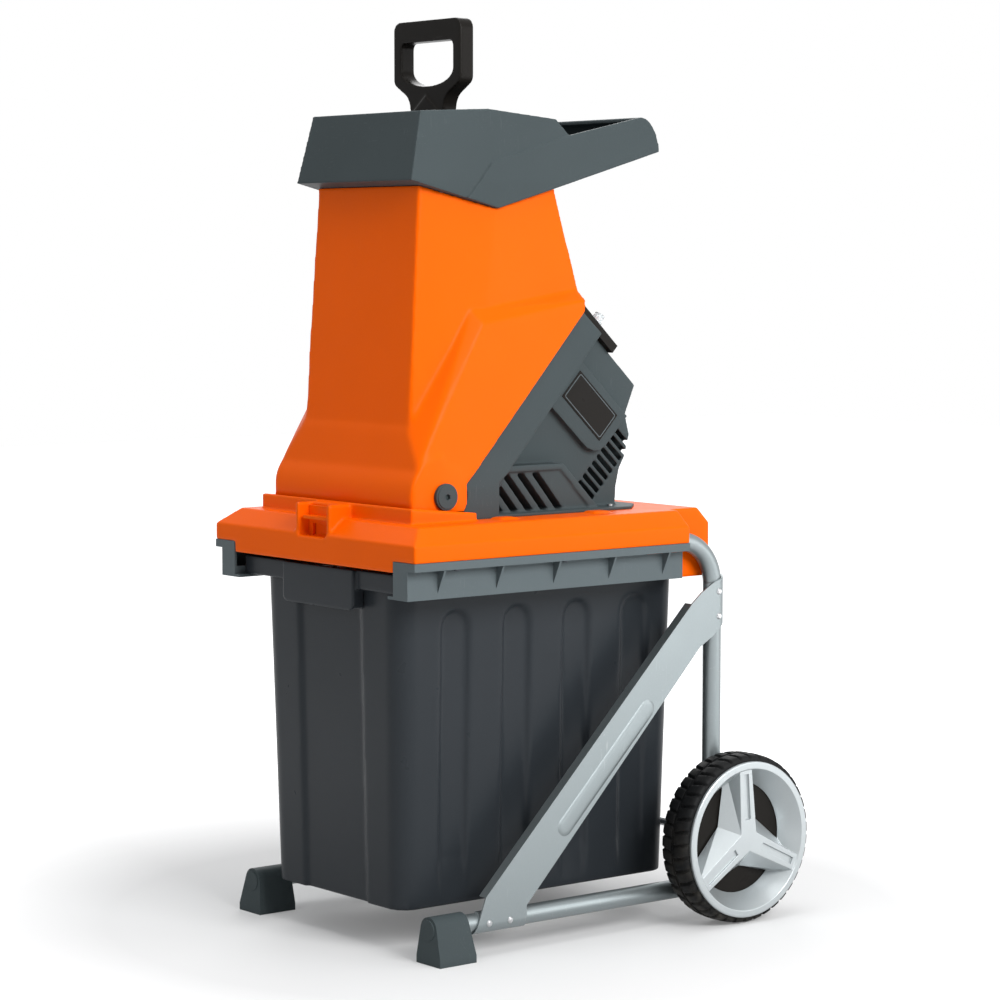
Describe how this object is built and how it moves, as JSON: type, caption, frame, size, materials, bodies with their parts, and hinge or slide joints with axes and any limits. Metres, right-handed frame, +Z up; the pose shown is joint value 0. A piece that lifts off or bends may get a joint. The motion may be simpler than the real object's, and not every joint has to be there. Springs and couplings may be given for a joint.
{
  "type": "garden shredder",
  "caption": "Upright electric garden shredder: tilting feed tower with hopper and pusher over a slanted cutter disc, with a slide-out collection bin and a wheeled tube frame.",
  "frame": {"origin": "on the floor, midway between the deck's front face and the rear of the wheels, on the middle plane", "axes": "+Z up, -Y towards the front with the bin's grip and latch, +X towards the right-hand wheel"},
  "size_m": [0.533, 0.61, 1.156],
  "materials": {
    "orange_shell": "satin moulded",
    "grey_shell": "fine moulded texture",
    "rail_plastic": "satin moulded",
    "bin_plastic": "satin moulded",
    "handle_plastic": "satin moulded",
    "red_control": "gloss",
    "clear_cap": "clear flexible cap",
    "frame_paint": "silver paint",
    "wheel_trim": "silver paint on plastic",
    "tyre_rubber": "hard plastic tread",
    "bright_steel": "ground",
    "cast_alloy": "as cast",
    "core_iron": "laminated",
    "copper": "copper"
  },
  "bodies": {
    "frame": {"deck": "orange_shell", "left_rail": "rail_plastic", "right_rail": "rail_plastic", "interlock_switch": "handle_plastic", "pivot_bolts": "grey_shell", "motor_housing": "grey_shell", "badge_plates": "handle_plastic", "switch_plate": "handle_plastic", "reset_cap": "clear_cap", "inlet_socket": "handle_plastic", "motor_plate": "cast_alloy", "gear_case": "cast_alloy", "spindle_bearings": "bright_steel", "motor_stator": "core_iron", "motor_bearings": "bright_steel", "motor_bracket": "cast_alloy", "brush_holders": "copper", "left_frame_tube": "frame_paint", "right_frame_tube": "frame_paint", "left_brace": "frame_paint", "right_brace": "frame_paint", "brace_rivets": "bright_steel", "left_foot": "grey_shell", "right_foot": "grey_shell", "axle": "bright_steel", "axle_spacers": "handle_plastic", "axle_clips": "bright_steel", "rail_screws": "bright_steel", "housing_screws": "bright_steel"},
    "tower": {"tower_shell": "orange_shell", "hopper": "grey_shell", "hopper_screws": "bright_steel", "lock_insert": "bright_steel"},
    "pusher": {"pusher_handle": "handle_plastic", "pusher_paddle": "handle_plastic", "pusher_screws": "bright_steel"},
    "collection_bin": {"bin": "bin_plastic"},
    "lock_slide": {"bin_lock": "orange_shell"},
    "left_wheel": {"left_tyre": "tyre_rubber", "left_wheel_disc": "handle_plastic", "left_wheel_trim": "wheel_trim"},
    "right_wheel": {"right_tyre": "tyre_rubber", "right_wheel_disc": "handle_plastic", "right_wheel_trim": "wheel_trim"},
    "cutter": {"spindle": "bright_steel", "spindle_gear": "bright_steel", "cutter_disc": "bright_steel", "blades": "bright_steel", "blade_screws": "bright_steel", "disc_bolt": "bright_steel"},
    "armature": {"motor_shaft": "bright_steel", "rotor_core": "core_iron", "commutator": "copper", "cooling_fan": "handle_plastic", "pinion": "bright_steel"},
    "rocker": {"power_switch": "red_control"},
    "reset": {"reset_button": "red_control"},
    "knob": {"tower_lock_knob": "handle_plastic"}
  },
  "joints": [
    {"name": "tower_tilt", "type": "hinge", "parent": "frame", "child": "tower", "pos_m": [0, -0.21, 0.565], "axis": [1, 0, 0], "range_deg": [0, 45]},
    {"name": "pusher_lift", "type": "slide", "parent": "tower", "child": "pusher", "axis": [0, 0, 1], "range_m": [0, 0.45]},
    {"name": "bin_slide", "type": "slide", "parent": "frame", "child": "collection_bin", "axis": [0, -1, 0], "range_m": [0, 0.44]},
    {"name": "bin_lock_slide", "type": "slide", "parent": "frame", "child": "lock_slide", "axis": [0, 0, -1], "range_m": [0, 0.014]},
    {"name": "left_wheel_spin", "type": "hinge", "parent": "frame", "child": "left_wheel", "pos_m": [-0.235, 0.195, 0.11], "axis": [1, 0, 0], "continuous": true},
    {"name": "right_wheel_spin", "type": "hinge", "parent": "frame", "child": "right_wheel", "pos_m": [0.235, 0.195, 0.11], "axis": [1, 0, 0], "continuous": true},
    {"name": "cutter_spin", "type": "hinge", "parent": "frame", "child": "cutter", "pos_m": [0, -0.07356, 0.68263], "axis": [0, -0.7242, 0.6896], "continuous": true},
    {"name": "armature_spin", "type": "hinge", "parent": "frame", "child": "armature", "pos_m": [0, 0.02782, 0.65858], "axis": [0, -0.7242, 0.6896], "continuous": true},
    {"name": "power_rocker", "type": "hinge", "parent": "frame", "child": "rocker", "pos_m": [-0.06, 0.07568, 0.75524], "axis": [-1, 0, 0], "range_deg": [0, 12]},
    {"name": "reset_press", "type": "slide", "parent": "frame", "child": "reset", "axis": [0, -0.6896, -0.7242], "range_m": [0, 0.0025], "stiffness_N_per_m": 200, "springref_m": -0.002},
    {"name": "lock_knob_turn", "type": "hinge", "parent": "frame", "child": "knob", "pos_m": [0, 0.06244, 0.79063], "axis": [0, -0.7242, 0.6896], "continuous": true}
  ],
  "couplings": [
    {"joint": "armature_spin", "follows": "cutter_spin", "ratio": -4}
  ]
}
